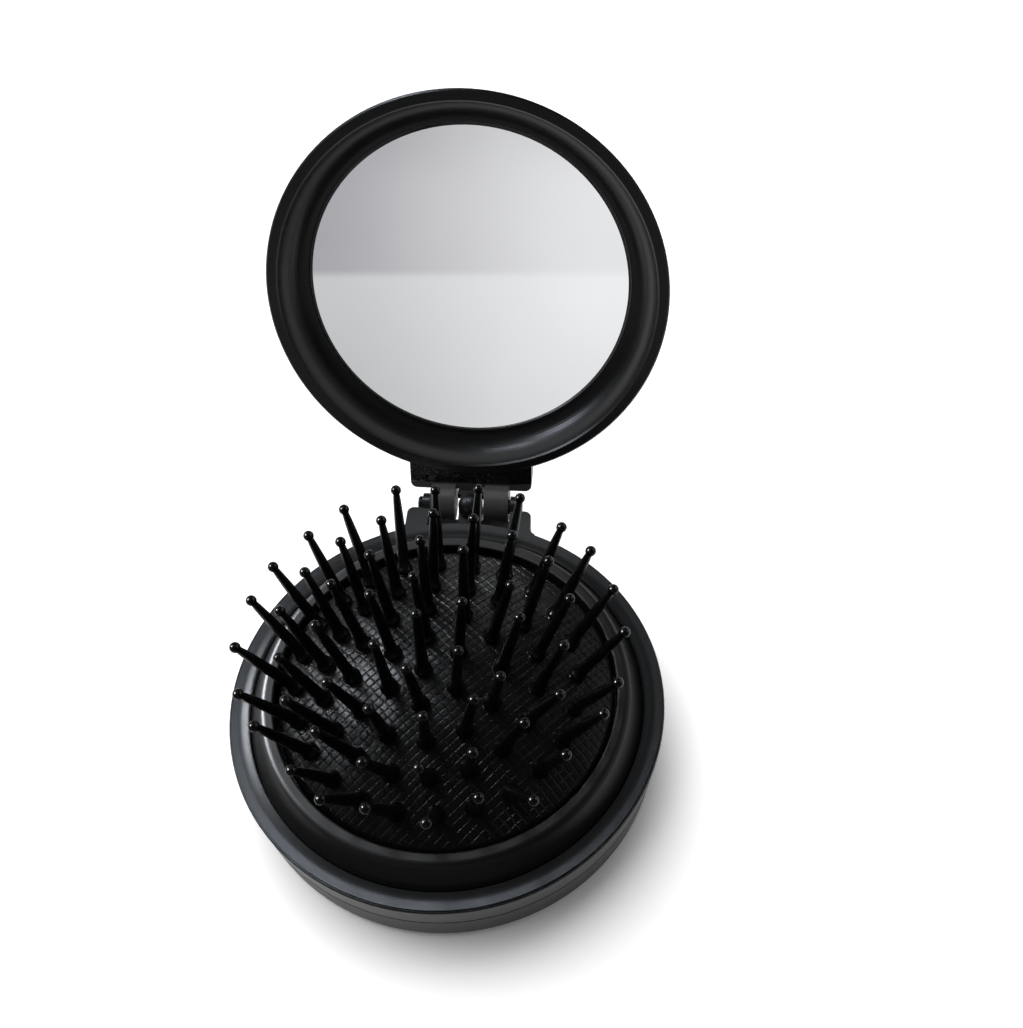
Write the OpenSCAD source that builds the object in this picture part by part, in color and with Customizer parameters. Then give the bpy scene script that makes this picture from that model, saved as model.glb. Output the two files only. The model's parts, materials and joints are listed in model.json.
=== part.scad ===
// Folding pocket hairbrush with a mirror in its lid, drawn open on its hinge.
// +Z is up, the hinge is at +Y, and the origin is the centre of the flat foot that the base rests on.

/* [Base] */
// Diameter of the base at its flat top ring
base_d = 68.5; // [67.5:0.5:70]
// Height of the flat top ring above the table
ring_z = 14; // [14:0.25:16]
// Radius of the rounded foot edge
foot_edge = 3; // [2:0.25:4]
// How far the side wall draws in towards the foot
wall_draft = 0.8; // [0.3:0.05:1]
// Parting line of the two shells, below the flat ring
parting_drop = 5.4; // [5:0.1:6]
// Thickness of the floor and of the flat ring
skin = 1.65; // [1.4:0.05:1.8]

/* [Collar and pad] */
// Radius of the opening that the pad stands in
opening_r = 26.75; // [26.5:0.05:26.9]
// Height of the collar's top above the flat ring
collar_h = 3.2; // [3:0.1:3.6]
// Radius of the collar at its foot
collar_foot_r = 30.85; // [30.6:0.05:30.9]
// Height of the pad's crown above the flat ring
crown_h = 7.5; // [6.5:0.25:8]
// Radius of the pad's domed surface
dome_r = 70; // [65:1:75]
// Thickness of the rubber
rubber_t = 1.4; // [1.2:0.1:1.6]
// Width of the open groove between the pad and the collar
pad_gap = 0.3; // [0.2:0.05:0.5]

/* [Pins] */
// Length of a pin above the rubber
pin_len = 15.6; // [13:0.2:17]
// Radius of the ball tip
ball_r = 0.83; // [0.7:0.01:0.95]
// Radius of the shaft under the ball
neck_r = 0.5; // [0.4:0.05:0.6]
// Radius of the shaft above the foot
shaft_r = 0.95; // [0.8:0.05:1]
// Radius of the bulb at the foot
bulb_r = 1.45; // [1.2:0.05:1.6]
// Outward lean of the outermost pins
pin_lean = 24.5; // [18:0.5:26]
// Sideways set of the whole pin pattern
pattern_x = -1.1; // [-1.2:0.1:1.2]
// Further sideways set of the pattern at the crown, where the soft pad is pushed over
crown_x = -1.9; // [-2:0.1:2]

/* [Lid] */
// Opening angle of the lid, where it leans on its stop
lid_open = 110; // [104:1:110]
// Outer radius of the lid's rim
lid_r = 32.7; // [32.6:0.1:33.2]
// Gap between the closed lid's rim and the flat ring
lid_gap = 0.3; // [0.3:0.05:0.5]
// Depth of the mirror's face below the rim
mirror_depth = 5.35; // [5.2:0.05:5.4]
// Radius of the mirror
mirror_r = 26.7; // [26.4:0.1:26.8]
// Thickness of the glass
glass_t = 1.45; // [1.3:0.05:1.45]
// Thickness of the adhesive disc
tape_t = 0.2; // [0.1:0.05:0.2]

/* [Hinge] */
// Hinge axis, behind the base's centre
hinge_y = 38.5; // [38.5:0.1:39]
// Hinge axis, below the flat ring
hinge_drop = 0.8; // [0.6:0.1:1]
// Radius of the two barrels on the lid
barrel_r = 3.2; // [3:0.1:3.4]
// Inner face of each barrel, from the middle
barrel_in = 2.6; // [2.5:0.1:2.8]
// Outer face of each barrel, from the middle
barrel_out = 6.9; // [6.5:0.1:6.9]
// How far the barrels stand off the hinge axis, towards the lid
barrel_shift = 0.6; // [0.4:0.1:0.7]
// Radius of the hinge pins
hinge_pin_r = 1.3; // [1.1:0.05:1.3]
// Outer end of each hinge pin, from the middle
hinge_pin_out = 9.3; // [9:0.1:9.6]
// Half the width of the block that carries the barrels
block_w = 10.8; // [10:0.1:10.8]
// Outer face of that block, from the lid's centre
block_y = 36; // [35.8:0.1:36.2]

/* [Lift] */
// Travel of the plate under the pad
lift_travel = 6.5; // [5:0.5:6.5]
// Radius of the plate
plate_r = 23.3; // [21:0.1:23.4]
// Radius of the guide post
post_r = 2.5; // [2:0.1:2.6]
// Wire diameter of the spring
wire_d = 0.8; // [0.6:0.1:0.9]
// Mean radius of the spring
coil_r = 5.6; // [5.3:0.1:6]
// Turns of the spring
coil_turns = 6.5; // [5:0.5:7.5]

/* [Hidden] */
$fn = 96;

// Colours as they look
charcoal = [0.10, 0.10, 0.11];
warm_black = [0.13, 0.125, 0.125];
pin_black = [0.05, 0.05, 0.055];
rubber_black = [0.16, 0.16, 0.165];
steel = [0.55, 0.56, 0.58];
silver = [0.78, 0.79, 0.81];
tape_white = [0.85, 0.85, 0.82];

fit = 0.05;                     // clearance of a running or a snap fit
eps = 0.01;
base_r = base_d / 2;
parting_z = ring_z - parting_drop;
inner_r = base_r - 2.8;         // inside of the lower shell and of its lap joint
lap_r = base_r - 1.75;          // outside of the lap joint
lap_z = ring_z - 2.95;          // top of the lap joint, which carries the pad frame
throat_r = collar_foot_r + 0.1;
edge_round = 1.1;               // rounding of the flat ring's inner edge
seam_w = 0.2;                   // shadow line along the flat ring's outer edge
seam_edge = 0.15;               // small bevel of both shells at the parting line
collar_z = ring_z + collar_h;
flange_z = ring_z - 0.3;        // top of the pad's flange, under the collar
flange_t = 1.3;
skirt_r = opening_r + 2.05;     // inside of the pad frame's skirt
pad_r = opening_r - pad_gap;
crown_z = ring_z + crown_h;
dome_z = crown_z - dome_r;      // centre of the dome's sphere
shoulder_r = 2.5;               // rounding of the pad's edge
shoulder_z = dome_z + sqrt(pow(dome_r - shoulder_r, 2) - pow(pad_r - shoulder_r, 2));

// Pins stand on rings round the centre pin
ring_radii = [0, 5.85, 11.45, 16.6, 21.65];
ring_counts = [1, 6, 12, 18, 24];
ring_starts = [0, 32, 6, -4, 6];
last_ring = 4;
head_r = 1.5;
head_t = 0.5;
stand_off = 0.2;                // bulb and head clear the curved rubber by this

hinge_z = ring_z - hinge_drop;
rim_z = ring_z + lid_gap;       // plane of the closed lid's rim
cheek_in = barrel_out + 0.3;    // the ears' inner arms, which hold the pins
cheek_out = cheek_in + 1.2;
cheek_r = hinge_pin_r + 0.6;
ear_out = 11;
ear_y = 37;
ear_z = ring_z - 4.4;
ear_round = 1.2;
ear_fillet = 1.4;
web_w = 2.1;
knob_r = 2.2;
knob_foot_r = 2.4;
cradle_y = hinge_y - 0.2;
cradle_z = [parting_z - 1, ring_z - 1.5];
stop_w = 1.7;
stop_y = 43;
stop_z = ring_z + 1;
stop_cap = [2.3, 1.2];          // half the width and the thickness of the stop's wider top
stop_gap = 0.15;

cove_w = 4;                     // width of the lid's hollow edge, from the mirror's edge to the rim
cove_z = 0.3;
floor_z = mirror_depth + glass_t + tape_t;
back_z = floor_z + 1.2;
flank_a = 36;                   // slope of the lid's flank, from the rim plane's normal
flank_z = 0.4;
back_round = 5;
flank_push = lid_r * cos(flank_a) + flank_z * sin(flank_a);
back_r = (flank_push - back_round - (back_z - back_round) * sin(flank_a)) / cos(flank_a);
cover_r = 24.6;
cover_t = 0.85;
cover_crown = 0.6;
block_z = [0.3, 5.6];           // block's faces, from the rim plane
block_round = 1.2;

plate_t = 1.3;
plate_top = dome_r - rubber_t - stand_off - head_t - 0.25;
hub_r = 4;
hub_z = skin + lift_travel + 0.15;
seat_r = 6.8;
seat_z = crown_z - 4.5;
post_z = dome_z + plate_top - lift_travel - 0.25;
rib_t = 1.2;
rib_in = 6;
rib_count = 6;

// Points of an arc round [x, y], from angle a to angle b
function arc(x, y, r, a, b, n = 8) =
    [for (i = [0 : n]) let (t = a + (b - a) * i / n) [x + r * cos(t), y + r * sin(t)]];

// Radius of the base's side wall at a height
function wall_r(z) = base_r - wall_draft * (ring_z - z) / (ring_z - foot_edge);

module lathe(points) {
    rotate_extrude() polygon(points);
}

module ring(r_in, r_out, z_low, z_high) {
    lathe([[r_in, z_low], [r_out, z_low], [r_out, z_high], [r_in, z_high]]);
}

// ---- Base ----

module base_shell() {
    foot_r = base_r - wall_draft - foot_edge;
    color(charcoal) union() {
        lathe(concat(
            [[0, 0]],
            arc(foot_r, foot_edge, foot_edge, -90, 0),
            [[wall_r(parting_z), parting_z - seam_edge], [wall_r(parting_z) - seam_edge, parting_z],
             [lap_r, parting_z], [lap_r, lap_z], [inner_r, lap_z]],
            arc(inner_r - 2, skin + 2, 2, 0, -90, 6),
            [[0, skin]]));
        translate([0, 0, skin - eps]) cylinder(r = post_r, h = post_z - skin - 0.5);
        translate([0, 0, post_z - 0.5 - 2 * eps]) cylinder(r1 = post_r, r2 = post_r - 0.5, h = 0.5);
    }
}

module upper_shell() {
    color(charcoal) difference() {
        union() {
            lathe(concat(
                [[throat_r - 1, parting_z], [wall_r(parting_z) - seam_edge, parting_z],
                 [wall_r(parting_z), parting_z + seam_edge], [base_r, ring_z - 0.4],
                 [base_r - 0.1, ring_z - 0.2], [base_r - 0.2, ring_z - 0.15], [base_r - 0.2, ring_z - 0.15 - seam_w],
                 [base_r - 0.2 - seam_w, ring_z - 0.15 - seam_w], [base_r - 0.2 - seam_w, ring_z]],
                arc(throat_r + edge_round, ring_z - edge_round, edge_round, 90, 180, 9),
                [[throat_r - 1, ring_z - edge_round]]));
            for (side = [-1, 1]) ear(side);
            hinge_knob();
        }
        translate([0, 0, parting_z - 1]) cylinder(r = lap_r + fit, h = ring_z - skin - parting_z + 1);
        translate([0, 0, parting_z]) cylinder(r = throat_r, h = parting_drop + 1);
        for (side = [-1, 1]) translate([side * (cheek_in + cheek_out) / 2, hinge_y, hinge_z])
            rotate([0, 90, 0]) cylinder(r = hinge_pin_r + fit, h = 2, center = true);
    }
}

// One hinge ear: a block behind the flat ring, filleted into it, with an inner arm round the pin
module ear(side) {
    fillet_x = ear_out + ear_fillet;
    fillet_y = sqrt(pow(base_r + ear_fillet, 2) - fillet_x * fillet_x);
    touch = base_r / (base_r + ear_fillet) * [fillet_x, fillet_y];
    mirror([side > 0 ? 0 : 1, 0, 0]) {
        translate([0, 0, ear_z]) linear_extrude(ring_z - ear_z) difference() {
            union() {
                translate([cheek_in, base_r - 4]) square([ear_out - cheek_in, ear_y - ear_round - base_r + 4]);
                translate([cheek_in, base_r]) square([ear_out - ear_round - cheek_in, ear_y - base_r]);
                translate([ear_out - ear_round, ear_y - ear_round]) circle(r = ear_round, $fn = 32);
                polygon([[ear_out - 1, base_r - 4], [ear_out - 1, fillet_y], [fillet_x, fillet_y], touch,
                         [touch[0], base_r - 4]]);
            }
            translate([fillet_x, fillet_y]) circle(r = ear_fillet, $fn = 48);
        }
        translate([cheek_in, base_r - 1, hinge_z - cheek_r])
            cube([cheek_out - cheek_in, hinge_y - base_r + 1, ring_z - hinge_z + cheek_r]);
        translate([cheek_in, hinge_y, hinge_z]) rotate([0, 90, 0]) cylinder(r = cheek_r, h = cheek_out - cheek_in);
    }
}

// Round knob between the barrels, on a web from the wall, the cradle under the barrels and the stop
// that the open lid leans on
module hinge_knob() {
    difference() {
        translate([-cheek_out, base_r - 2, cradle_z[0]])
            cube([2 * cheek_out, cradle_y - base_r + 2, cradle_z[1] - cradle_z[0]]);
        translate([0, hinge_y, hinge_z]) rotate([0, 90, 0])
            cylinder(r = barrel_r + barrel_shift + 0.3, h = 2 * cheek_in, center = true);
        translate([0, 0, parting_z - 2]) cylinder(r = base_r + 0.1, h = 2);
    }
    translate([-web_w, base_r - 1.2, ear_z]) cube([2 * web_w, hinge_y - base_r + 1.7, hinge_z - 1.2 - ear_z]);
    translate([0, hinge_y, ear_z]) cylinder(r1 = knob_foot_r, r2 = knob_r - 0.05, h = hinge_z - 0.4 - ear_z);
    translate([0, hinge_y, hinge_z]) sphere(r = knob_r);
    difference() {
        union() {
            translate([-stop_w, hinge_y, ear_z]) cube([2 * stop_w, stop_y - hinge_y, stop_z - ear_z]);
            translate([-stop_cap[0], hinge_y + 1, stop_z - stop_cap[1]])
                cube([2 * stop_cap[0], stop_y - hinge_y - 1, stop_cap[1]]);
        }
        translate([0, hinge_y, hinge_z]) rotate([-lid_open, 0, 0])
            translate([-5, -20, -10]) cube([10, 20 - (hinge_y - block_y) + stop_gap, 30]);
    }
}

module pad_frame() {
    shoulder = 1.2;
    slope_a = 30;               // of the outer face, from the vertical
    foot_z = ring_z - 0.7;
    shoulder_x = collar_foot_r - (collar_z - shoulder * (1 - sin(slope_a)) - foot_z) * tan(slope_a)
        - shoulder * cos(slope_a);
    color(warm_black) lathe(concat(
        [[opening_r, flange_z + fit], [opening_r, collar_z - 0.3]],
        arc(opening_r + 0.3, collar_z - 0.3, 0.3, 180, 90, 3),
        arc(shoulder_x, collar_z - shoulder, shoulder, 90, slope_a, 7),
        [[collar_foot_r, foot_z], [collar_foot_r, ring_z - skin - fit],
         [lap_r - 0.1, ring_z - skin - fit], [lap_r - 0.1, lap_z + fit], [skirt_r, lap_z + fit],
         [skirt_r, flange_z + fit]]));
}

module pad_retainer() {
    chamfer = 0.25;
    top = flange_z - flange_t - fit;
    bottom = lap_z + fit;
    color(charcoal) lathe([
        [pad_r - 0.2, bottom + chamfer], [pad_r - 0.2 + chamfer, bottom], [skirt_r - fit - chamfer, bottom],
        [skirt_r - fit, bottom + chamfer], [skirt_r - fit, top], [pad_r - 0.2, top]]);
}

// ---- Pad and pins ----

function pad_z(x, y) = dome_z + sqrt(dome_r * dome_r - x * x - y * y);
function set_x(r) = pattern_x + crown_x * (1 - pow(r / 22, 2));

// Places its child at each pin of a ring, along the pin's own axis, with the rubber's surface at z = 0
module on_ring(ring_no) {
    r = ring_radii[ring_no];
    step = 360 / ring_counts[ring_no];
    for (i = [0 : ring_counts[ring_no] - 1]) {
        a = ring_starts[ring_no] + i * step;
        x = r * cos(a) + set_x(r);
        y = r * sin(a);
        translate([x, y, pad_z(x, y)]) rotate([0, 0, a]) rotate([0, pin_lean * r / ring_radii[last_ring], 0])
            children();
    }
}

module pin() {
    ball_z = pin_len - ball_r;
    neck_z = ball_z - sqrt(ball_r * ball_r - neck_r * neck_r);
    head_z = -rubber_t - stand_off;
    neck_a = asin(neck_r / ball_r);
    color(pin_black) rotate_extrude($fn = 24) polygon(concat(
        [[0, head_z - head_t], [head_r, head_z - head_t], [head_r, head_z], [shaft_r, head_z],
         [shaft_r, stand_off], [bulb_r - 0.15, stand_off]],
        arc(bulb_r - 0.45, stand_off + 0.6, 0.45, -20, 60, 3),
        [[shaft_r, stand_off + 2.1], [neck_r, neck_z - 1.2], [neck_r, neck_z]],
        arc(0, ball_z, ball_r, neck_a - 90, 90, 7)));
}

// The pad's outside shrunk by an inset: sphere, rounded shoulder and wall, from a height up
module dome(inset, low) {
    shoulder_a = acos((pad_r - shoulder_r) / (dome_r - shoulder_r));
    intersection() {
        translate([0, 0, dome_z]) sphere(r = dome_r - inset, $fn = 200);
        lathe(concat([[0, low], [pad_r - inset, low]],
            arc(pad_r - shoulder_r, shoulder_z, shoulder_r - inset, 0, shoulder_a, 8), [[0, crown_z + 20]]));
    }
}

module rubber_pad() {
    color(rubber_black) difference() {
        union() {
            ring(pad_r - rubber_t, skirt_r - 0.15, flange_z - flange_t, flange_z);
            difference() {
                dome(0, flange_z - flange_t);
                dome(rubber_t, flange_z - flange_t - 1);
            }
        }
        for (ring_no = [0 : last_ring]) on_ring(ring_no)
            translate([0, 0, -rubber_t - 0.6]) cylinder(r = shaft_r + fit, h = rubber_t + 1.2, $fn = 24);
    }
}

module centre_pin() { on_ring(0) pin(); }
module pin_ring_1() { on_ring(1) pin(); }
module pin_ring_2() { on_ring(2) pin(); }
module pin_ring_3() { on_ring(3) pin(); }
module pin_ring_4() { on_ring(4) pin(); }

// ---- Lift ----

module lift_plate() {
    color(charcoal) difference() {
        union() {
            difference() {
                intersection() {
                    translate([0, 0, dome_z]) sphere(r = plate_top, $fn = 200);
                    translate([0, 0, ring_z - 5]) cylinder(r = plate_r, h = 20);
                }
                translate([0, 0, dome_z]) sphere(r = plate_top - plate_t, $fn = 200);
            }
            intersection() {
                translate([0, 0, dome_z]) sphere(r = plate_top - plate_t / 2, $fn = 200);
                union() {
                    translate([0, 0, hub_z]) cylinder(r = hub_r, h = 20);
                    translate([0, 0, seat_z]) cylinder(r = seat_r, h = 20);
                    for (i = [0 : rib_count - 1]) rotate([0, 0, i * 360 / rib_count])
                        translate([rib_in, -rib_t / 2, ring_z - 2.6]) cube([plate_r - rib_in - 1, rib_t, 20]);
                }
            }
        }
        cylinder(r = post_r + fit, h = 40);
        difference() {
            translate([0, 0, -1]) cylinder(r = seat_r + 0.2, h = seat_z + 1);
            cylinder(r = hub_r, h = 40);
        }
    }
}

// Height of the spring's wire after so many turns; the end turns lie closer
function coil_z(turn) =
    let (closed = 1.3, mid = (seat_z - skin - wire_d - 2 * closed) / (coil_turns - 2))
    turn < 1 ? turn * closed
    : turn < coil_turns - 1 ? closed + (turn - 1) * mid
    : closed + (coil_turns - 2) * mid + (turn - coil_turns + 1) * closed;

module lift_spring() {
    sides = 6;
    per_turn = 8;
    rings = coil_turns * per_turn;
    points = [for (i = [0 : rings], s = [0 : sides - 1])
        let (a = i * 360 / per_turn, t = s * 360 / sides, r = coil_r + wire_d / 2 * cos(t))
        [r * cos(a), r * sin(a), skin + wire_d / 2 + coil_z(i / per_turn) + wire_d / 2 * sin(t)]];
    walls = [for (i = [0 : rings - 1], s = [0 : sides - 1])
        let (a = i * sides + s, b = i * sides + (s + 1) % sides)
        each [[a, a + sides, b], [b, a + sides, b + sides]]];
    caps = [for (s = [1 : sides - 2]) each [
        [0, s, s + 1],
        [rings * sides, rings * sides + s + 1, rings * sides + s]]];
    color(steel) polyhedron(points, concat(walls, caps));
    echo(spring_least_gap = min([for (i = [0 : rings - per_turn], s = [0 : sides - 1], t = [0 : sides - 1])
        norm(points[i * sides + s] - points[(i + per_turn) * sides + t])]));
}

// ---- Lid, drawn closed and then opened about the hinge ----

module opened() {
    translate([0, hinge_y, hinge_z]) rotate([-lid_open, 0, 0]) translate([0, -hinge_y, rim_z - hinge_z])
        children();
}

// Outside of the lid's body from the rim to the back, grown outwards
function lid_outside(grow) = concat(
    [[lid_r + grow, flank_z]],
    arc(back_r, back_z - back_round, back_round + grow, flank_a, 90, 6));

module lid_frame() {
    edge = 0.25;
    seat = mirror_r + 0.1;
    cove_d = mirror_depth - 0.05 - cove_z;
    steps = 16;
    color(charcoal) opened() lathe(concat(
        [[0, back_z], [0, floor_z], [seat, floor_z]],
        [for (i = [0 : steps]) let (a = 90 - 90 * i / steps) [seat + cove_w * cos(a), cove_z + cove_d * sin(a)]],
        [[seat + cove_w + edge, 0], [lid_r - edge, 0], [lid_r, edge]],
        lid_outside(0)));
}

module lid_cover() {
    crown = (cover_r * cover_r + cover_crown * cover_crown) / (2 * cover_crown);
    top = back_z + fit + cover_t;
    rim_a = acos((cover_r - 0.5) / crown);
    color(charcoal) opened() lathe(concat(
        [[0, back_z + fit], [cover_r, back_z + fit], [cover_r, top - 0.5]],
        arc(cover_r - 0.5, top - 0.5, 0.5, 0, 80, 4),
        arc(0, top + cover_crown - crown, crown, rim_a, 90, 8)));
}

module mirror_glass() {
    bevel = 0.5;
    color(silver) opened() lathe([
        [0, mirror_depth], [mirror_r - bevel, mirror_depth], [mirror_r, mirror_depth + bevel / 2],
        [mirror_r, mirror_depth + glass_t], [0, mirror_depth + glass_t]]);
}

module mirror_tape() {
    color(tape_white) opened() translate([0, 0, mirror_depth + glass_t]) cylinder(r = mirror_r - 1.4, h = tape_t);
}

module lid_hinge_block() {
    axis_z = hinge_z - rim_z;
    color(charcoal) opened() difference() {
        union() {
            difference() {
                translate([0, 0, block_z[0]]) linear_extrude(block_z[1] - block_z[0]) {
                    translate([-block_w, 26]) square([2 * block_w, block_y - block_round - 26]);
                    translate([-block_w + block_round, 26]) square([2 * (block_w - block_round), block_y - 26]);
                    for (side = [-1, 1]) translate([side * (block_w - block_round), block_y - block_round])
                        circle(r = block_round, $fn = 32);
                }
                lathe(concat([[0, -1], [lid_r + fit, -1]], lid_outside(fit), [[0, back_z + fit]]));
            }
            for (side = [-1, 1]) {
                middle = side * (barrel_in + barrel_out) / 2;
                width = barrel_out - barrel_in;
                translate([middle, hinge_y - barrel_shift, axis_z]) rotate([0, 90, 0])
                    cylinder(r = barrel_r, h = width, center = true);
                translate([middle - width / 2, block_y - 1, block_z[0]])
                    cube([width, hinge_y - block_y + 1, axis_z + barrel_r - block_z[0]]);
            }
        }
        for (side = [-1, 1]) translate([side * (barrel_in + 0.8 + 5), hinge_y, axis_z]) rotate([0, 90, 0])
            cylinder(r = hinge_pin_r + eps, h = 10, center = true);
    }
}

module hinge_pin(side) {
    chamfer = 0.2;
    inner = barrel_in + 0.9;
    color(pin_black) opened() translate([0, hinge_y, hinge_z - rim_z]) rotate([0, side * 90, 0]) lathe([
        [0, inner], [hinge_pin_r, inner], [hinge_pin_r, hinge_pin_out - chamfer],
        [hinge_pin_r - chamfer, hinge_pin_out], [0, hinge_pin_out]]);
}

module hinge_pin_left() { hinge_pin(-1); }
module hinge_pin_right() { hinge_pin(1); }

base_shell();
upper_shell();
pad_frame();
pad_retainer();
rubber_pad();
centre_pin();
pin_ring_1();
pin_ring_2();
pin_ring_3();
pin_ring_4();
lift_plate();
lift_spring();
lid_frame();
lid_cover();
mirror_glass();
mirror_tape();
lid_hinge_block();
hinge_pin_left();
hinge_pin_right();
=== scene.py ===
import json
import math
import random
from collections import Counter

import bpy
from mathutils import Matrix, Vector, noise

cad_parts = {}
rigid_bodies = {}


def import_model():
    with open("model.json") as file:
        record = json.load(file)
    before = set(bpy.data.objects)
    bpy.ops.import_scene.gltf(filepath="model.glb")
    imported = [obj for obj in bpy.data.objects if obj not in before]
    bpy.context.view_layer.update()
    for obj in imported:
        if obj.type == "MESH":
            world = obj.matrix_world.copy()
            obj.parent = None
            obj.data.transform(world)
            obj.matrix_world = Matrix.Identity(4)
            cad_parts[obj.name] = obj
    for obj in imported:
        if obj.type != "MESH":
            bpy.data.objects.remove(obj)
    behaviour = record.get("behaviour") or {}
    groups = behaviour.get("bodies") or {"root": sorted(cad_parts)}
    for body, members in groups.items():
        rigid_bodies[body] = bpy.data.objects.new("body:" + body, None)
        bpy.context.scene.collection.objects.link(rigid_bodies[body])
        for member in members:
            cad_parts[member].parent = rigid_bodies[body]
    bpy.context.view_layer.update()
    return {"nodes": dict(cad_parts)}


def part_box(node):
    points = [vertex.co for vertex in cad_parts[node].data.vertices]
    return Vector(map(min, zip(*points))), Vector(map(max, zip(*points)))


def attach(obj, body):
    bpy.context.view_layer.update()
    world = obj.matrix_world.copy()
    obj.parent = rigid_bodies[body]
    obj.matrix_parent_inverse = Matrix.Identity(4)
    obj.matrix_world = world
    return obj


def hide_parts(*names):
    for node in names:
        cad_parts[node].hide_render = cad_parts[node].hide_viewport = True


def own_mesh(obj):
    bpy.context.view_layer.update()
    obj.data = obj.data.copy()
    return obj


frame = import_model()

MM = 0.001

# ---- Sizes in millimetres, as the CAD model has them where nothing else is said ----
CROWN_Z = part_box("rubber_pad")[1].z / MM
PAD_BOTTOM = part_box("rubber_pad")[0].z / MM
FLANGE_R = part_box("rubber_pad")[1].x / MM
FLANGE_TOP = PAD_BOTTOM + 1.3
DOME_R = 70.0
PAD_R = 26.45
RUBBER_T = 1.4
SHOULDER_R = 2.5                # rounding of the pad's edge at the left and back, where it bulges out softly
TIGHT_R = 1.4                   # the same at the front and right, tighter than in the CAD model
SOFT_X, SOFT_Y = -0.87, 0.5     # direction of the softest part of that edge
SOFT_FADE = 1.2                 # how quickly the edge changes from soft to tight
RING_RADII = [0, 5.85, 11.45, 16.6, 21.65]
RING_COUNTS = [1, 6, 12, 18, 24]
RING_STARTS = [0, 32, 6, -4, 6]         # degrees, bearing of each ring's first pin
PIN_NODES = ["centre_pin", "pin_ring_1", "pin_ring_2", "pin_ring_3", "pin_ring_4"]
PIN_LENGTH = 15.6
PIN_LEAN = 24.5                 # degrees, of the outermost pins
PIN_STRAY = 2.6                 # degrees, spread of each pin's own lean; not in the CAD model
PATTERN_X = -1.1                # middle of the pattern of pins
CROWN_X = -1.9                  # the soft crown of the pad is pushed to the left
CROWN_REACH = 22                # radius at which that push ends
BALL_R = 0.83
NECK_R = 0.53
SHAFT_R = 0.93
BULB_R = 1.45
HINGE_Y = 38.5
HINGE_AXIS = (0, HINGE_Y * MM, 13.2 * MM)       # metres
BARREL_R = 3.9                  # round that axis the block is smooth out to here
BODY_R = 4.3                    # and rough from here on
LID_OPEN = 110                  # degrees from closed to the pose of the photograph
RIM_OVER_AXIS = 1.1             # of the closed lid
RING_Z = 14                     # top of the flat ring
LEAN_FROM_R = 33.1              # the ring's shading leans outwards from here in to LEAN_TO_R
LEAN_TO_R = 31.7
LEAN = 0.3                      # sideways part of the leaning normal


# ---- Camera ----

def place_camera():
    """The camera as fitted to the photograph."""
    azimuth, elevation, roll = (math.radians(a) for a in (6.74, 52.66, -3.02))
    aim = Vector((9.06, 23.46, 30.96)) * MM
    distance = 179.03 * MM
    back = Vector((math.sin(azimuth) * math.cos(elevation), -math.cos(azimuth) * math.cos(elevation),
                   math.sin(elevation)))
    level = Vector((math.cos(azimuth), math.sin(azimuth), 0))
    lifted = back.cross(level)
    right = level * math.cos(roll) + lifted * math.sin(roll)
    up = lifted * math.cos(roll) - level * math.sin(roll)
    camera = bpy.data.objects.new("camera", bpy.data.cameras.new("camera"))
    camera.data.lens = 39.7
    camera.data.sensor_width = 36
    camera.data.clip_start = 0.01
    turned = Matrix((right, up, back)).transposed().to_4x4()
    camera.matrix_world = Matrix.Translation(aim + back * distance) @ turned
    bpy.context.collection.objects.link(camera)
    bpy.context.scene.camera = camera


place_camera()


# ---- Shader nodes ----

class Value:
    """An output socket. Arithmetic on it adds Math nodes to its tree."""

    def __init__(self, shader, socket):
        self.shader = shader
        self.socket = socket

    def out(self, name):
        return Value(self.shader, self.socket.node.outputs[name])

    def math(self, operation, *values):
        return self.shader.node("ShaderNodeMath", {"operation": operation}, dict(enumerate(values)))

    def __add__(self, other):
        return self.math("ADD", self, other)

    def __sub__(self, other):
        return self.math("SUBTRACT", self, other)

    def __rsub__(self, other):
        return self.math("SUBTRACT", other, self)

    def __mul__(self, other):
        return self.math("MULTIPLY", self, other)

    def __gt__(self, other):
        return self.math("GREATER_THAN", self, other)

    def __lt__(self, other):
        return self.math("LESS_THAN", self, other)

    def dot(self, direction):
        return self.shader.vector("DOT_PRODUCT", self, direction)

    __radd__ = __add__
    __rmul__ = __mul__


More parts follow.
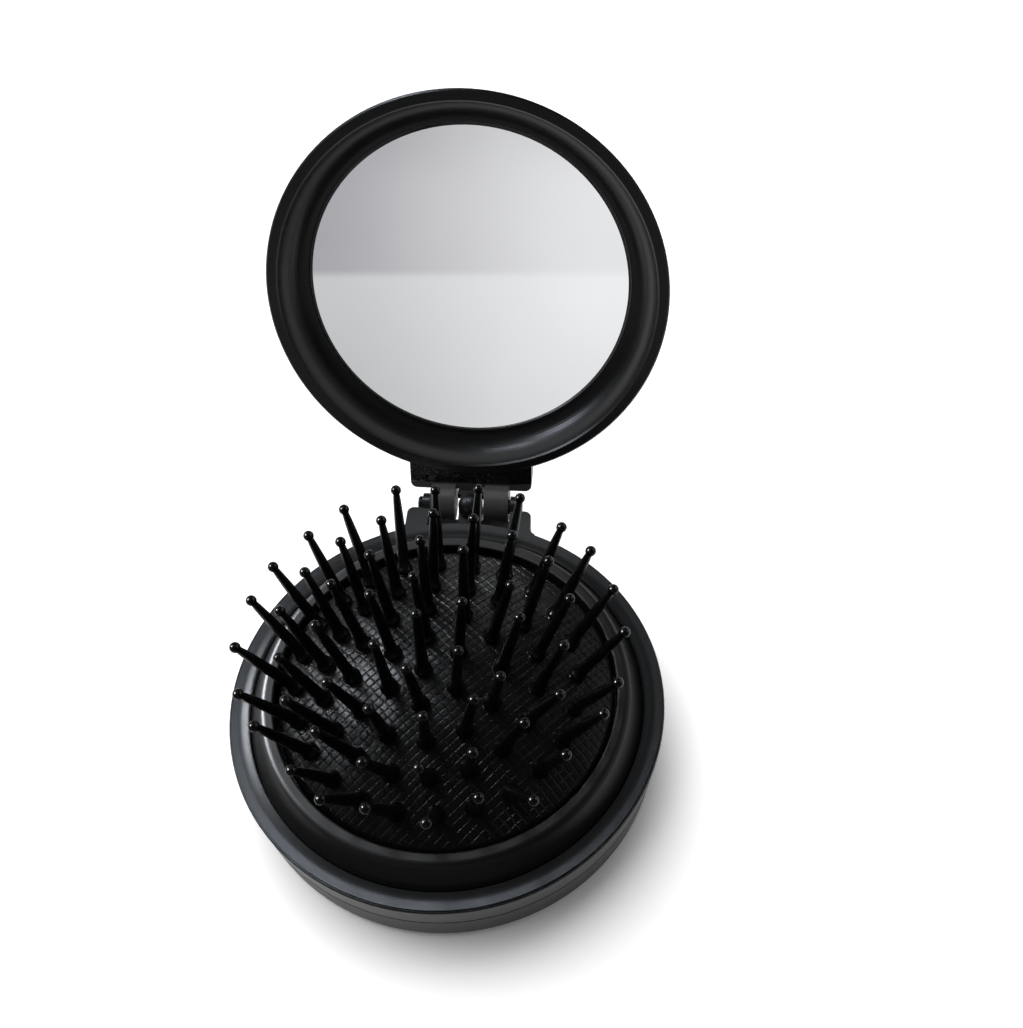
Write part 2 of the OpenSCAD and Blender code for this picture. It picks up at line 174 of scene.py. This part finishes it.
class Shader:
    """The node tree of one material or of the world."""

    def __init__(self, owner):
        owner.use_nodes = True
        self.owner = owner
        self.tree = owner.node_tree
        self.tree.nodes.clear()

    def node(self, kind, settings=None, inputs=None, output=0):
        """Any node, from its type, its settings and the values or links of its sockets."""
        made = self.tree.nodes.new(kind)
        for name, setting in (settings or {}).items():
            setattr(made, name, setting)
        for name, value in (inputs or {}).items():
            if isinstance(value, Value):
                self.tree.links.new(value.socket, made.inputs[name])
            else:
                made.inputs[name].default_value = value
        return Value(self, made.outputs[output]) if made.outputs else None

    def vector(self, operation, *values):
        """A Vector Math node. Two of its operations give a plain number."""
        output = 1 if operation in ("DOT_PRODUCT", "LENGTH") else 0
        return self.node("ShaderNodeVectorMath", {"operation": operation}, dict(enumerate(values)), output)

    def place(self):
        return self.node("ShaderNodeTexCoord").out("Object")

    def coordinate(self, letter):
        return self.node("ShaderNodeSeparateXYZ", {}, {0: self.place()}).out(letter)

    def ray_is(self, kind):
        return self.node("ShaderNodeLightPath").out(f"Is {kind} Ray")

    def noise(self, per_mm, detail=2.0, roughness=0.5):
        return self.node("ShaderNodeTexNoise", {}, {
            "Vector": self.place(), "Scale": per_mm / MM, "Detail": detail, "Roughness": roughness})

    def ramp(self, value, low, high, to_low=0.0, to_high=1.0):
        return self.node("ShaderNodeMapRange", {"interpolation_type": "SMOOTHSTEP"}, {
            0: value, 1: low, 2: high, 3: to_low, 4: to_high})

    def mix(self, factor, first, second):
        return self.node("ShaderNodeMix", {"data_type": "RGBA"}, {0: factor, 6: first, 7: second}, output=2)

    def bump(self, height, depth_mm):
        return self.node("ShaderNodeBump", {}, {"Height": height, "Distance": depth_mm * MM, "Strength": 1.0})

    def blend(self, factor, first, second):
        return self.node("ShaderNodeMixShader", {}, {0: factor, 1: first, 2: second})

    def finish(self, surface):
        kind = "World" if isinstance(self.owner, bpy.types.World) else "Material"
        self.node("ShaderNodeOutput" + kind, {}, {"Surface": surface})
        return self.owner

    def principled(self, inputs):
        return self.finish(self.node("ShaderNodeBsdfPrincipled", {}, inputs))


def grey(level, warmth=0.0):
    """A grey of this brightness; warmth shifts it towards red or, below 0, towards blue."""
    return (level * (1 + warmth), level, level * (1 - warmth), 1.0)


def specks(shader, spacing_mm, radius_mm, share):
    """Sparse dots, one in each of a share of cells that are spacing_mm across."""
    per_metre = 1 / (spacing_mm * MM)
    cells = shader.node("ShaderNodeTexVoronoi", {}, {"Vector": shader.place(), "Scale": per_metre})
    chosen = shader.node("ShaderNodeSeparateColor", {}, {0: cells.out("Color")}) < share
    return chosen * (cells.out("Distance") < radius_mm / spacing_mm)


def ring_lean(shader, normal):
    """Leans the shading of the top ring outwards by its inner edge, as on a softly swollen moulding."""
    outwards = shader.vector("MULTIPLY", shader.place(), (1, 1, 0))
    radius = shader.vector("LENGTH", outwards)
    on_top = shader.coordinate("Z") > (RING_Z - 0.5) * MM
    near = shader.ramp(radius, LEAN_FROM_R * MM, LEAN_TO_R * MM) * on_top
    sideways = shader.vector("MULTIPLY", shader.vector("NORMALIZE", outwards), (LEAN, LEAN, LEAN))
    leaning = shader.vector("ADD", sideways, (0, 0, 1))
    blended = shader.node("ShaderNodeMix", {"data_type": "VECTOR"}, {0: near, 4: normal, 5: leaning}, output=1)
    return shader.vector("NORMALIZE", blended)


def moulded_plastic(name, level, warmth, roughness, shape=None):
    """Satin moulded plastic: faint clouding, a fine eroded grain and a few specks of dust.

    The grey's level, its warmth and the roughness are the finish, but for the upper shell the level is partly
    painted light. The shape may change the shading normal."""
    shader = Shader(bpy.data.materials.new(name))
    cloud = shader.noise(0.08, 3.0)
    fine = shader.noise(6.0, 3.0, 0.65)
    rubbed = shader.noise(0.5, 4.0, 0.6)
    dots = specks(shader, 1.7, 0.045, 0.02)
    colour = shader.mix(cloud, grey(level * 0.8, warmth), grey(level * 1.2, warmth))
    normal = shader.bump(fine + rubbed * 0.8, 0.003)
    return shader.principled({
        "Base Color": shader.mix(dots, colour, grey(0.3)),
        "Roughness": shader.ramp(rubbed, 0.25, 0.75, roughness - 0.012, roughness + 0.012) + dots * 0.3,
        "Specular IOR Level": 0.5,
        "Normal": shape(shader, normal) if shape else normal})


def pin_plastic():
    """Glossy black nylon with the faintest clouding."""
    shader = Shader(bpy.data.materials.new("pin_plastic"))
    cloud = shader.noise(0.5, 2.0)
    return shader.principled({
        "Base Color": shader.mix(cloud, grey(0.0012), grey(0.0025)),
        "Roughness": shader.ramp(cloud, 0.3, 0.7, 0.19, 0.25),
        "Specular IOR Level": 0.3})


def pad_rubber():
    """Black rubber with a slight bloom and a few specks of dust."""
    shader = Shader(bpy.data.materials.new("pad_rubber"))
    bloom = shader.noise(0.22, 4.0, 0.6)
    fine = shader.noise(5.0, 3.0, 0.7)
    dots = specks(shader, 1.3, 0.05, 0.03)
    colour = shader.mix(bloom, grey(0.0015), grey(0.0035))
    return shader.principled({
        "Base Color": shader.mix(dots, colour, grey(0.3)),
        "Roughness": shader.ramp(bloom, 0.3, 0.7, 0.25, 0.31) + dots * 0.2,
        "Specular IOR Level": 0.5,
        "Normal": shader.bump(fine, 0.006)})


def silvered_glass():
    """Front of the mirror, with the faintest uneven polish."""
    shader = Shader(bpy.data.materials.new("mirror_glass"))
    polish = shader.noise(0.05, 2.0)
    smudge = shader.noise(0.12, 4.0, 0.6)
    return shader.principled({
        "Base Color": shader.mix(polish, (0.86, 0.865, 0.875, 1), (0.88, 0.885, 0.89, 1)),
        "Metallic": 1.0,
        "Roughness": shader.ramp(smudge, 0.45, 0.8, 0.012, 0.03)})


def spring_wire():
    """Drawn wire with fine lengthwise scratches."""
    shader = Shader(bpy.data.materials.new("spring_steel"))
    drawn = shader.noise(4.0, 4.0, 0.7)
    return shader.principled({
        "Base Color": shader.mix(drawn, grey(0.42), grey(0.6)),
        "Metallic": 1.0,
        "Roughness": shader.ramp(drawn, 0.3, 0.7, 0.25, 0.42),
        "Normal": shader.bump(drawn, 0.01)})


def tape_paper():
    """Foam tape behind the mirror."""
    shader = Shader(bpy.data.materials.new("tape"))
    pores = shader.noise(3.0, 4.0, 0.7)
    return shader.principled({
        "Base Color": shader.mix(pores, grey(0.7, 0.02), grey(0.82, 0.02)),
        "Roughness": 0.9,
        "Normal": shader.bump(pores, 0.03)})


def rough_block():
    """The hinge block: smooth barrels on a rough body with beads of set adhesive; the barrels' lighter grey is
    painted light.
    """
    shader = Shader(bpy.data.materials.new("lid_block"))
    from_hinge = shader.vector("SUBTRACT", shader.place(), HINGE_AXIS)
    radius = shader.vector("LENGTH", shader.vector("MULTIPLY", from_hinge, (0, 1, 1)))
    rough = shader.ramp(radius, BARREL_R * MM, BODY_R * MM)
    cloud = shader.noise(0.3, 3.0)
    beads = shader.noise(0.9, 3.0, 0.55)
    fine = shader.noise(6.0, 3.0, 0.65)
    return shader.principled({
        # The barrels' lighter grey is painted light for the light they catch; the rough body keeps the
        # plastic's near-black.
        "Base Color": shader.mix(rough, shader.mix(cloud, grey(0.034), grey(0.044)), grey(0.002)),
        "Roughness": shader.mix(rough, grey(0.36), grey(0.2)),
        "Specular IOR Level": 0.5,
        "Normal": shader.bump(fine * 0.03 + beads * rough, 0.3)})


FINISHES = {
    "base_shell": moulded_plastic("shell_lower", 0.005, 0.0, 0.38),
    # The upper shell's grey is set lighter than the lower shell's: painted light for its brighter wall.
    "upper_shell": moulded_plastic("shell_upper", 0.007, -0.05, 0.32, shape=ring_lean),
    "pad_frame": moulded_plastic("collar_plastic", 0.004, 0.02, 0.36),
    "pad_retainer": moulded_plastic("inner_plastic", 0.006, 0.0, 0.5),
    "lid_frame": moulded_plastic("lid_plastic", 0.004, -0.02, 0.3),
    "lid_cover": moulded_plastic("lid_cover_plastic", 0.006, -0.02, 0.36),
    "lid_hinge_block": rough_block(),
    "mirror_glass": silvered_glass(),
    "mirror_tape": tape_paper(),
    "lift_spring": spring_wire(),
}
FINISHES["lift_plate"] = FINISHES["pad_retainer"]
FINISHES["hinge_pin_left"] = FINISHES["hinge_pin_right"] = moulded_plastic("stub_plastic", 0.004, 0.0, 0.3)
for node_name, material in FINISHES.items():
    for material_slot in frame["nodes"][node_name].material_slots:
        material_slot.material = material


# ---- Meshes ----

def add_mesh(name, vertices, faces, material, smooth_angle=40):
    """A mesh object from vertices in millimetres, smooth but for edges sharper than the angle."""
    mesh = bpy.data.meshes.new(name)
    mesh.from_pydata([Vector(v) * MM for v in vertices], [], faces)
    mesh.update()
    mesh.materials.append(material)
    made = bpy.data.objects.new(name, mesh)
    bpy.context.collection.objects.link(made)
    mesh.shade_smooth()
    mesh.set_sharp_from_angle(angle=math.radians(smooth_angle))
    return made


def arc(x, z, radius, start, end, steps):
    """Points on an arc round (x, z), from one angle to the other."""
    angles = [math.radians(start + (end - start) * i / steps) for i in range(steps + 1)]
    return [(x + radius * math.cos(a), z + radius * math.sin(a)) for a in angles]


def lathe(profile, sides):
    """Vertices and faces of a profile of (radius, height) points turned about Z, closed at the axis."""
    vertices, rows, faces = [], [], []
    turn = 2 * math.pi
    for radius, height in profile:
        count = sides if radius > 1e-6 else 1
        rows.append(range(len(vertices), len(vertices) + count))
        vertices += [(radius * math.cos(turn * i / count), radius * math.sin(turn * i / count), height)
                     for i in range(count)]
    for low, high in zip(rows, rows[1:]):
        for i in range(sides):
            a, b = low[i % len(low)], low[(i + 1) % len(low)]
            c, d = high[(i + 1) % len(high)], high[i % len(high)]
            face = [a, b, c, d]
            faces.append([v for n, v in enumerate(face) if v not in face[:n]])
    return vertices, faces


def clamp(value):
    return max(0.0, min(1.0, value))


def dome_z(x, y):
    """Height of the pad's dome."""
    return CROWN_Z - DOME_R + math.sqrt(DOME_R ** 2 - x * x - y * y)


# ---- Pins ----

PIN_SIDES = 28


def pin_feet():
    """Ring number, place on the rubber and bearing of each pin."""
    for ring, (radius, count, start) in enumerate(zip(RING_RADII, RING_COUNTS, RING_STARTS)):
        shift = PATTERN_X + CROWN_X * (1 - (radius / CROWN_REACH) ** 2)
        for i in range(count):
            bearing = math.radians(start + i * 360 / count)
            x, y = radius * math.cos(bearing) + shift, radius * math.sin(bearing)
            yield ring, x, y, bearing


def pin_profile():
    """One pin as (radius, height over the rubber): flat head under it, bulb, long taper, neck and ball."""
    ball_z = PIN_LENGTH - BALL_R
    neck_angle = math.degrees(math.asin(NECK_R / BALL_R))
    return (
        [(0, -2.1), (1.35, -2.1), (1.45, -2.0), (1.45, -1.7), (1.35, -1.6)]
        + [(SHAFT_R, -1.6), (SHAFT_R, -0.4), (BULB_R - 0.25, -0.1)]
        + arc(BULB_R - 0.75, 0.62, 0.75, -55, 35, 8)
        + [(1.14, 1.5), (1.02, 2.0), (0.96, 2.6), (SHAFT_R, 3.6)]
        + [(0.86, 7.0), (0.74, 10.5), (0.62, 13.0), (NECK_R + 0.02, 13.9)]
        + arc(0, ball_z, BALL_R, neck_angle - 90, 90, 14)[:-1] + [(0, PIN_LENGTH)])


def pins():
    """The five groups of pins, each pin with its own small lean as it stands in the soft pad."""
    material = pin_plastic()
    vertices, faces = lathe(pin_profile(), PIN_SIDES)
    groups = [([], []) for _ in RING_RADII]
    chance = random.Random(11)
    for ring, x, y, bearing in pin_feet():
        lean = math.radians(PIN_LEAN * RING_RADII[ring] / RING_RADII[-1])
        stray_x, stray_y = (math.radians(chance.gauss(0, PIN_STRAY)) for _ in range(2))
        stray = Matrix.Rotation(stray_x, 4, "X") @ Matrix.Rotation(stray_y, 4, "Y")
        place = (Matrix.Translation((x, y, dome_z(x, y))) @ Matrix.Rotation(bearing, 4, "Z")
                 @ Matrix.Rotation(lean, 4, "Y") @ stray)
        group_vertices, group_faces = groups[ring]
        first = len(group_vertices)
        group_vertices += [place @ Vector(v) for v in vertices]
        group_faces += [[first + v for v in face] for face in faces]
    for node_name, (group_vertices, group_faces) in zip(PIN_NODES, groups):
        piece = add_mesh(node_name + "_glossy", group_vertices, group_faces, material, 50)
        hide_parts(node_name)
        yield piece


# ---- Rubber pad ----

GRID_CELL = 1.2                 # square cells of the moulded grid
GRID_TURN = 47                  # degrees
# Shares of a cell at which the mesh has a line.
CELL_LINES = (0.0, 0.045, 0.095, 0.16, 0.5, 0.84, 0.905, 0.955)
GROOVE_DEPTH = 0.11
GROOVE_HALF = 0.095             # half the width of a groove, as a share of a cell
GROOVE_WALL = 0.6               # share of that half which slopes
PILLOW = 0.02                   # swell of each cell
ROW_SLIP = 0.08                 # most that a row of cells is shifted, as a share of a cell
WANDER = 0.12                   # the same for the slow wandering of the grid's lines
WANDER_CELLS = 4                # cells in one hump of that wandering
TRIM_R = 26.25                  # the grid runs out to here on the rounded edge
TRIM_GAP = 0.06                 # least distance of a whole crossing from the trimmed edge
EDGE_R = TRIM_R - 0.7           # the grid fades out from here
EDGE_FADE = 0.5                 # over this distance
SWELL_FADE = 3                  # distance from the pad's side over which its slow swells rise
BOSS_R = 1.65                   # smooth rubber round a pin's foot
BOSS_RISE = 0.18
BOSS_FADE = 0.3                 # distance over which the grid fades out at a foot


def unevenness(x, y, length, layer):
    """Smooth noise between -1 and 1 with humps of about this length; each layer is another one."""
    return noise.noise(Vector((x / length, y / length, layer)))


def shoulder(x, y):
    """Radius, distance from the axis and height of the centre of the pad's rounded edge, by direction."""
    soft = clamp(0.5 + SOFT_FADE * (SOFT_Y * y + SOFT_X * x) / max(1e-9, math.hypot(x, y)))
    radius = TIGHT_R + (SHOULDER_R - TIGHT_R) * soft
    middle = PAD_R - radius
    return radius, middle, CROWN_Z - DOME_R + math.sqrt((DOME_R - radius) ** 2 - middle ** 2)


def groove(share):
    """1 at the bottom of a groove, 0 on the cell, by the share of the way across a cell."""
    return clamp((GROOVE_HALF - min(share, 1 - share)) / (GROOVE_HALF * GROOVE_WALL))


def pad_z(x, y):
    """The pad's smooth outside: the dome and, beyond it, the rounded shoulder."""
    from_axis = math.hypot(x, y)
    radius, middle, centre_z = shoulder(x, y)
    if from_axis < middle * DOME_R / (DOME_R - radius):
        return dome_z(x, y)
    return centre_z + math.sqrt(max(0.0, radius ** 2 - (from_axis - middle) ** 2))


def pad_side(angle):
    """The pad's outline below its trimmed edge, in the direction of the angle: wall, flange and underside."""
    radius, middle, centre_z = shoulder(math.cos(angle), math.sin(angle))
    trim_angle = math.degrees(math.acos((TRIM_R - middle) / radius))
    inner_r = PAD_R - RUBBER_T
    return (arc(middle, centre_z, radius, trim_angle, 0, 4)[1:]
            + [(PAD_R, FLANGE_TOP), (FLANGE_R, FLANGE_TOP), (FLANGE_R, PAD_BOTTOM), (inner_r, PAD_BOTTOM)]
            + [(inner_r, centre_z - 1.5), (inner_r - 1.5, centre_z - 0.3)]
            + [(r, dome_z(r, 0) - RUBBER_T) for r in (21, 16, 11, 6)])


def pad_relief(x, y, share_u, share_v, feet):
    """Height of the moulded surface over the smooth dome."""
    from_axis = math.hypot(x, y)
    from_foot = min(math.hypot(x - foot_x, y - foot_y) for foot_x, foot_y in feet)
    plain = max(clamp((BOSS_R - from_foot) / BOSS_FADE), clamp((from_axis - EDGE_R) / EDGE_FADE))
    pillow = PILLOW * math.sin(math.pi * share_u) * math.sin(math.pi * share_v)
    worn = max(0.3, min(1.0, 0.85 + 0.9 * unevenness(x, y, 2.3, 7.0)))
    grid = pillow - GROOVE_DEPTH * max(groove(share_u), groove(share_v)) * worn
    swell = 0.22 * unevenness(x, y, 6.5, 3.1) + 0.03 * unevenness(x, y, 1.9, 8.2)
    boss = BOSS_RISE * max(0.0, 1 - from_foot / BOSS_R) ** 1.5
    return (1 - plain) * grid + swell * clamp((PAD_R - from_axis) / SWELL_FADE) + boss


def grid_places(lines, cells):
    """Place of every crossing of the grid's lines, by the numbers of the two lines."""
    turn = math.radians(GRID_TURN)
    chance = random.Random(5)
    row_slip = [chance.uniform(-ROW_SLIP, ROW_SLIP) for _ in range(2 * cells + 2)]
    places = {}
    for i, (u, _) in enumerate(lines):
        for j, (v, _) in enumerate(lines):
            across = u + WANDER * unevenness(u, v, WANDER_CELLS, 1.0) + row_slip[math.floor(v) + cells]
            along = v + WANDER * unevenness(u, v, WANDER_CELLS, 5.0)
            places[i, j] = (GRID_CELL * (across * math.cos(turn) - along * math.sin(turn)),
                            GRID_CELL * (across * math.sin(turn) + along * math.cos(turn)))
    return places


def open_edge(vertices, faces):
    """The vertices on the edge of an open disc, in order round it, and their angles."""
    uses = Counter(frozenset(side) for face in faces for side in zip(face, face[1:] + face[:1]))
    edge = {v for side, count in uses.items() if count == 1 for v in side}
    angle = {v: math.atan2(vertices[v][1], vertices[v][0]) for v in edge}
    loop = sorted(edge, key=angle.get)
    return loop, [angle[v] for v in loop]


def pad_top():
    """Top of the pad: a grid along its own grooves, trimmed on a circle."""
    cells = math.ceil(TRIM_R * 1.02 / GRID_CELL)
    lines = [(cell + share, share) for cell in range(-cells, cells) for share in CELL_LINES] + [(cells, 0.0)]
    places = grid_places(lines, cells)
    inside = {key for key, (x, y) in places.items() if math.hypot(x, y) < TRIM_R - TRIM_GAP}
    feet = [(x, y) for _, x, y, _ in pin_feet()]
    vertices, index, faces = [], {}, []

    def vertex(key):
        if key not in index:
            x, y = places[key]
            if key in inside:
                (_, share_u), (_, share_v) = lines[key[0]], lines[key[1]]
                z = pad_z(x, y) + pad_relief(x, y, share_u, share_v, feet)
            else:
                out = TRIM_R / math.hypot(x, y)
                x, y = x * out, y * out
                z = pad_z(x, y)
            index[key] = len(vertices)
            vertices.append((x, y, z))
        return index[key]

    for i in range(len(lines) - 1):
        for j in range(len(lines) - 1):
            corners = [(i, j), (i + 1, j), (i + 1, j + 1), (i, j + 1)]
            if any(key in inside for key in corners):
                faces.append([vertex(key) for key in corners])
    return vertices, faces


def pad_mesh():
    """The top of the pad, closed by its wall, flange and underside."""
    vertices, faces = pad_top()
    loop, angles = open_edge(vertices, faces)
    for points in zip(*(pad_side(angle) for angle in angles)):
        first = len(vertices)
        vertices += [(radius * math.cos(a), radius * math.sin(a), height)
                     for (radius, height), a in zip(points, angles)]
        fresh = list(range(first, len(vertices)))
        faces += [[loop[n - 1], fresh[n - 1], fresh[n], loop[n]] for n in range(len(loop))]
        loop = fresh
    vertices.append((0, 0, CROWN_Z - RUBBER_T))
    faces += [[loop[n - 1], len(vertices) - 1, loop[n]] for n in range(len(loop))]
    return vertices, faces


def rubber_pad():
    vertices, faces = pad_mesh()
    piece = add_mesh("rubber_pad_grid", vertices, faces, pad_rubber(), 75)
    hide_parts("rubber_pad")
    return piece


soft_pad = rubber_pad()
for sinking, slot_name in [(soft_pad, "pad_rubber"), *((ring, "pin_plastic") for ring in pins())]:
    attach(sinking, "base")
    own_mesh(sinking)


# ---- Floor, card, lamps and surroundings ----

FLOOR_SEEN = 1.3                # brightness to the camera, so that the faintest shadow clips to white
FLOOR_REACH = 4000              # millimetres
FLOOR_Z = -0.02
# A glowing disc over the mirror's glass paints the mirror's reflection; these place it and set the horizon of
# its painted picture.
REFLECTION_DISC_DEPTH = 5.05               # below the lid's rim, millimetres
REFLECTION_DISC_R = 26.5
REFLECTION_DISC_SIDES = 96
HORIZON = 0.04936               # metres above the table
HORIZON_TILT = 0.0255
HORIZON_SOFT = 0.0009           # metres


def floor():
    """Pale floor that keeps the shadow near the object and runs out to plain white. Distances are in metres.

    Other rays see it darker, and glossy ones see painted shade on it, darkest close to the object and in front
    of it."""
    shader = Shader(bpy.data.materials.new("floor"))
    distance = shader.vector("LENGTH", shader.place())
    white = shader.node("ShaderNodeEmission", {}, {"Color": (1, 1, 1, 1), "Strength": 1.0})
    lit = shader.node("ShaderNodeBsdfDiffuse", {}, {"Color": grey(FLOOR_SEEN)})
    seen = shader.blend(shader.ramp(distance, 0.10, 0.35), lit, white)
    from_front = shader.coordinate("Y")
    # To glossy rays the floor's colour is painted shade standing in for light that falls off: dimmer beyond 7
    # to 12 cm from the base's middle, and nearly black in front of it from 4 to 6 cm out until 20 to 45 cm
    # out.
    painted_shade_by_distance = shader.mix(shader.ramp(distance, 0.07, 0.12), grey(0.85), grey(0.6))
    near = shader.mix(shader.ramp(from_front, -0.06, -0.04), grey(0.03), painted_shade_by_distance)
    reflected_with_painted_shade = shader.mix(shader.ramp(from_front, -0.45, -0.2), grey(0.8), near)
    colour = shader.mix(shader.ray_is("Glossy"), grey(0.8), reflected_with_painted_shade)
    plain = shader.node("ShaderNodeBsdfDiffuse", {}, {"Color": colour})
    material = shader.finish(shader.blend(shader.ray_is("Camera"), plain, seen))
    corners = [(x * FLOOR_REACH, y * FLOOR_REACH, FLOOR_Z) for x, y in [(-1, -1), (1, -1), (1, 1), (-1, 1)]]
    made = add_mesh("floor", corners, [[0, 1, 2, 3]], material)


def painted_reflection_picture():
    """What the mirror shows, painted: a darker upper part and a lighter lower part, both paler to the right,
    with painted shade at the top and the bottom.
    """
    shader = Shader(bpy.data.materials.new("mirror_card"))
    x = shader.coordinate("X")
    height = shader.coordinate("Z") - x * HORIZON_TILT
    cloud = (shader.noise(0.05, 1.5) - 0.5) * 0.18
    side = shader.ramp(x, -0.028, 0.024) + cloud
    above = shader.ramp(height, HORIZON - HORIZON_SOFT, HORIZON + HORIZON_SOFT)
    upper = shader.mix(side, (0.44, 0.435, 0.46, 1), (0.90, 0.90, 0.91, 1))
    top_shade = shader.ramp(height, HORIZON + 0.012, HORIZON + 0.024, 0.0, 0.12)
    upper = shader.mix(top_shade, upper, (0, 0, 0, 1))
    lower = shader.mix(side, (0.64, 0.645, 0.65, 1), (0.97, 0.97, 0.975, 1))
    bottom_shade = shader.ramp(height, HORIZON - 0.026, HORIZON, 0.12, 0.0)
    lower = shader.mix(bottom_shade, lower, (0, 0, 0, 1))
    # The disc's glow is the painted reflection; its clouding and its darker top and bottom are painted too.
    glow = shader.node("ShaderNodeEmission", {}, {"Color": shader.mix(above, lower, upper), "Strength": 1.0})
    clear = shader.node("ShaderNodeBsdfTransparent")
    backfacing = shader.node("ShaderNodeNewGeometry").out("Backfacing")
    return shader.finish(shader.blend(backfacing, glow, clear))


def mirror_card():
    """A glowing disc just over the glass that only the glass sees, which paints the mirror's two-tone
    reflection.
    """
    opening = Matrix.Rotation(-math.radians(LID_OPEN), 3, "X")
    middle = Vector(HINGE_AXIS) / MM + opening @ Vector((0, -HINGE_Y, RIM_OVER_AXIS + REFLECTION_DISC_DEPTH))
    across = Vector((1, 0, 0))
    lean = math.radians(180 - LID_OPEN)
    up = Vector((0, math.cos(lean), math.sin(lean)))
    angles = [2 * math.pi * i / REFLECTION_DISC_SIDES for i in range(REFLECTION_DISC_SIDES)]
    corners = [middle + (across * math.cos(a) + up * math.sin(a)) * REFLECTION_DISC_R for a in angles]
    material = painted_reflection_picture()
    made = add_mesh("mirror_card", corners, [list(range(REFLECTION_DISC_SIDES))[::-1]], material)
    material.cycles.emission_sampling = "NONE"
    made.visible_camera = made.visible_diffuse = made.visible_shadow = made.visible_transmission = False


def softbox(name, bearing, elevation, distance, half_angles, radiance, tint=(1, 1, 1), gloss=True):
    """A lamp that faces the object, either for reflections alone or for plain light alone."""
    width, height = (2 * distance * math.tan(math.radians(angle)) for angle in half_angles)
    lamp = bpy.data.lights.new(name, "AREA")
    lamp.shape = "RECTANGLE"
    lamp.size, lamp.size_y = width, height
    lamp.energy = radiance * math.pi * width * height
    lamp.color = tint
    made = bpy.data.objects.new(name, lamp)
    bearing, elevation = math.radians(bearing), math.radians(elevation)
    towards = Vector((math.sin(bearing) * math.cos(elevation), math.cos(bearing) * math.cos(elevation),
                      math.sin(elevation)))
    made.location = towards * distance
    made.rotation_mode = "QUATERNION"
    made.rotation_quaternion = towards.to_track_quat("Z", "Y")
    made.visible_glossy = gloss
    made.visible_diffuse = not gloss
    bpy.context.collection.objects.link(made)
    return made


def group(name, wanted):
    """A collection of the mesh objects whose names the test accepts, for linking light to them."""
    made = bpy.data.collections.new(name)
    for thing in bpy.context.scene.objects:
        if thing.type == "MESH" and wanted(thing.name):
            made.objects.link(thing)
    return made


def surroundings():
    """White to the camera; to reflections a dark room, glowing softly left and right and faintly in front."""
    world = bpy.data.worlds.new("studio")
    bpy.context.scene.world = world
    shader = Shader(world)
    way = shader.node("ShaderNodeTexCoord").out("Generated")
    left = shader.ramp(way.dot((-0.85, 0.35, 0.35)), 0.6, 1.0, 0.0, 0.3)
    right = shader.ramp(way.dot((0.90, 0.40, 0.10)), 0.55, 1.0, 0.0, 0.4)
    front = shader.ramp(way.dot((-0.1, -1.0, 0.0)), 0.6, 1.0, 0.0, 0.1)
    gloss = shader.mix(left + right + front, grey(0.02), (0.96, 1.0, 1.06, 1))
    other = shader.mix(shader.ray_is("Glossy"), grey(0.25), gloss)
    colour = shader.mix(shader.ray_is("Camera"), other, (1, 1, 1, 1))
    shader.finish(shader.node("ShaderNodeBackground", {}, {"Color": colour, "Strength": 1.0}))


floor()
mirror_card()
# Only these pieces block the lamps. In this soft studio the lid leaves no shadow.
casters = group("casters", lambda name: not name.startswith(("lid_", "mirror_", "hinge_pin", "floor")))
# The plain light of the whole scene.
softbox("top", -45, 62, 1.2, (29, 29), 3.4, gloss=False).light_linking.blocker_collection = casters
# Reflections, each tuned to the pieces that show it.
PIN_PIECES = ("centre_pin", "pin_ring")
for name, bearing, elevation, half_angles, radiance, tint, lit in [
        ("key_shells", -36, 70, (9, 7), 7.5, (0.90, 1.0, 1.14), ("base_shell", "upper_shell")),
        ("edge_left", -68, 35, (10, 9), 17.0, (0.94, 1.0, 1.08), ("upper_shell",)),
        ("key_lid", -60, 60, (7, 8), 9.0, (0.92, 1.0, 1.12), ("lid_", "hinge_pin")),
        ("key_collar", -64, 32, (14, 12), 38.0, (0.96, 1.0, 1.06), ("pad_frame",)),
        ("front_collar", -30, 68, (10, 8), 2.0, (0.97, 1.0, 1.04), ("pad_frame",)),
        ("pins_top", -40, 66, (10, 8), 1.6, (0.95, 1.0, 1.07), PIN_PIECES),
        ("cove_left", -98, 46, (9, 8), 9.0, (0.92, 1.0, 1.12), ("lid_frame",)),
        ("key_pad", -50, 48, (13, 9), 8.5, (0.95, 1.0, 1.07), ("rubber_pad",)),
        ("edge_right", 50, 30, (14, 10), 14.0, (1.0, 1.0, 1.03), ("base_shell",)),
        ("pins_left", -92, 38, (8, 8), 95.0, (1.0, 1.0, 1.0), PIN_PIECES),
        ("pins_right", 70, 35, (16, 14), 1.5, (1.0, 1.0, 1.0), PIN_PIECES)]:
    linking = softbox(name, bearing, elevation, 1.0, half_angles, radiance, tint).light_linking
    linking.receiver_collection = group(name, lambda piece: piece.startswith(lit))
    linking.blocker_collection = casters
surroundings()
bpy.context.scene.view_settings.view_transform = "Standard"
